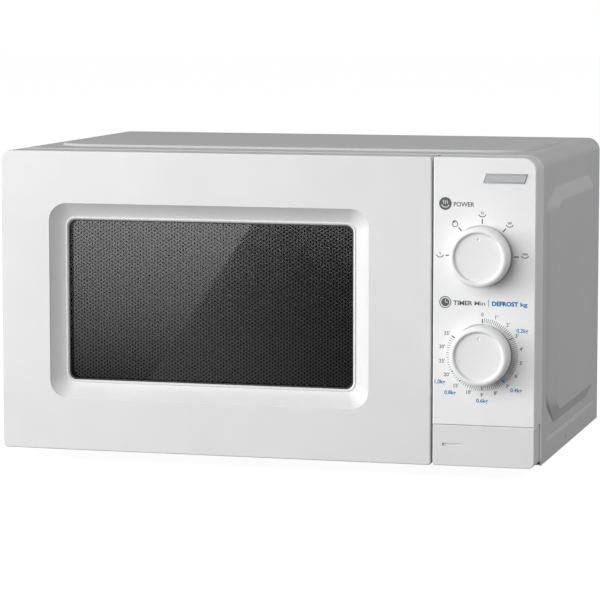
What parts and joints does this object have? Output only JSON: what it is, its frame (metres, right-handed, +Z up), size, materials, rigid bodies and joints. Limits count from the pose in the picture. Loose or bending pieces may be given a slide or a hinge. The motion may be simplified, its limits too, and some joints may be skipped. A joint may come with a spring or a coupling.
{
  "type": "microwave oven",
  "caption": "Countertop microwave oven with a side-hinged window door, two dials, a push-to-open button, a glass turntable and its working parts inside an embossed steel cabinet.",
  "frame": {"origin": "on the surface the feet stand on, under the middle of the whole object", "axes": "+X to the right of someone facing the door, +Y from the front to the back, +Z up"},
  "size_m": [0.4506, 0.326, 0.2568],
  "materials": {
    "cabinet_paint": "silver-grey powder coat, satin",
    "cavity_enamel": "light grey enamel, semi-gloss",
    "zinc_steel": "zinc-coated sheet, dull",
    "front_plastic": "off-white moulding, fine satin",
    "button_plastic": "pale grey moulding, fine satin",
    "badge_plastic": "grey, blank",
    "window_glass": "tinted, polished",
    "perforated_steel": "black, perforated all over the window",
    "black_plastic": "black moulding",
    "grey_plastic": "grey moulding",
    "cream_plastic": "natural heat-proof moulding",
    "clear_glass": "clear, polished",
    "core_steel": "varnished laminations",
    "copper_winding": "enamelled copper wire",
    "bare_aluminium": "plain",
    "mica_sheet": "pressed mica",
    "board": "printed circuit board",
    "foot_rubber": "black"
  },
  "bodies": {
    "oven": {"outer_cover": "cabinet_paint", "front_plate": "cavity_enamel", "cavity": "cavity_enamel", "base_plate": "zinc_steel", "rear_panel": "zinc_steel", "rear_screw_1": "zinc_steel", "rear_screw_2": "zinc_steel", "turntable_motor": "zinc_steel", "waveguide": "zinc_steel", "hinge_bracket_bottom": "zinc_steel", "hinge_bracket_top": "zinc_steel", "hinge_pin_bottom": "zinc_steel", "hinge_pin_top": "zinc_steel", "lever_pin": "zinc_steel", "timer_unit": "zinc_steel", "control_panel": "front_plastic", "panel_badge": "badge_plastic", "cord_bushing": "black_plastic", "thermal_cutout": "black_plastic", "door_switch_lower": "black_plastic", "door_switch_middle": "black_plastic", "door_switch_upper": "black_plastic", "fan_housing": "grey_plastic", "air_duct": "grey_plastic", "lamp_holder": "cream_plastic", "interlock_bracket": "cream_plastic", "power_selector": "cream_plastic", "cavity_lamp": "clear_glass", "transformer_core": "core_steel", "fan_motor": "core_steel", "transformer_primary_coil": "copper_winding", "transformer_secondary_coil": "copper_winding", "magnetron": "bare_aluminium", "hv_capacitor": "bare_aluminium", "mica_cover": "mica_sheet", "filter_board": "board", "foot_front_left": "foot_rubber", "foot_front_right": "foot_rubber", "foot_rear_left": "foot_rubber", "foot_rear_right": "foot_rubber"},
    "door": {"door_frame": "front_plastic", "door_glass": "window_glass", "door_screen": "perforated_steel", "choke_cover": "black_plastic", "inner_pane": "window_glass", "latch_spring": "zinc_steel"},
    "latch": {"door_latch": "grey_plastic"},
    "button": {"release_button": "button_plastic"},
    "lever": {"release_lever": "cream_plastic"},
    "power_dial": {"power_knob": "front_plastic", "power_shaft": "zinc_steel"},
    "timer_dial": {"timer_knob": "front_plastic", "timer_shaft": "zinc_steel"},
    "turntable_drive": {"turntable_coupler": "grey_plastic"},
    "tray": {"glass_tray": "clear_glass"},
    "ring": {"roller_ring": "grey_plastic"},
    "roller_1": {"roller_1": "cream_plastic"},
    "roller_2": {"roller_2": "cream_plastic"},
    "roller_3": {"roller_3": "cream_plastic"},
    "fan": {"cooling_fan": "grey_plastic"}
  },
  "joints": [
    {"name": "door_hinge", "type": "hinge", "parent": "oven", "child": "door", "pos_m": [-0.214, -0.127, 0.132], "axis": [0, 0, -1], "range_deg": [0, 100]},
    {"name": "button_press", "type": "slide", "parent": "oven", "child": "button", "axis": [0, 1, 0], "range_m": [0, 0.005], "stiffness_N_per_m": 400},
    {"name": "lever_turn", "type": "hinge", "parent": "oven", "child": "lever", "pos_m": [0.15, -0.083, 0.06], "axis": [1, 0, 0], "range_deg": [0, 12]},
    {"name": "latch_drop", "type": "slide", "parent": "door", "child": "latch", "axis": [0, 0, -1], "range_m": [0, 0.004], "stiffness_N_per_m": 300, "deforming": ["latch_spring"]},
    {"name": "power_turn", "type": "hinge", "parent": "oven", "child": "power_dial", "pos_m": [0.17765, -0.147, 0.17805], "axis": [0, 1, 0], "range_deg": [-90, 90]},
    {"name": "timer_turn", "type": "hinge", "parent": "oven", "child": "timer_dial", "pos_m": [0.1782, -0.147, 0.1009], "axis": [0, 1, 0], "range_deg": [0, 300]},
    {"name": "turntable_spin", "type": "hinge", "parent": "oven", "child": "turntable_drive", "pos_m": [-0.05, 0.014, 0.037], "axis": [0, 0, 1], "continuous": true},
    {"name": "tray_lift", "type": "slide", "parent": "turntable_drive", "child": "tray", "axis": [0, 0, 1], "range_m": [0, 0.025]},
    {"name": "ring_spin", "type": "hinge", "parent": "oven", "child": "ring", "pos_m": [-0.05, 0.014, 0.0382], "axis": [0, 0, 1], "continuous": true},
    {"name": "roller_1_spin", "type": "hinge", "parent": "ring", "child": "roller_1", "pos_m": [0.03877, 0.06525, 0.0382], "axis": [0.866, 0.5, 0], "continuous": true},
    {"name": "roller_2_spin", "type": "hinge", "parent": "ring", "child": "roller_2", "pos_m": [-0.13877, 0.06525, 0.0382], "axis": [-0.866, 0.5, 0], "continuous": true},
    {"name": "roller_3_spin", "type": "hinge", "parent": "ring", "child": "roller_3", "pos_m": [-0.05, -0.0885, 0.0382], "axis": [0, -1, 0], "continuous": true},
    {"name": "fan_spin", "type": "hinge", "parent": "oven", "child": "fan", "pos_m": [0.16, 0.128, 0.172], "axis": [0, 1, 0], "continuous": true}
  ],
  "couplings": [
    {"joint": "lever_turn", "follows": "button_press", "rad_per_m": 40},
    {"joint": "latch_drop", "follows": "button_press", "ratio": 0.8},
    {"joint": "ring_spin", "follows": "turntable_spin", "ratio": 0.5},
    {"joint": "roller_1_spin", "follows": "turntable_spin", "ratio": -7.4275},
    {"joint": "roller_2_spin", "follows": "turntable_spin", "ratio": -7.4275},
    {"joint": "roller_3_spin", "follows": "turntable_spin", "ratio": -7.4275}
  ]
}
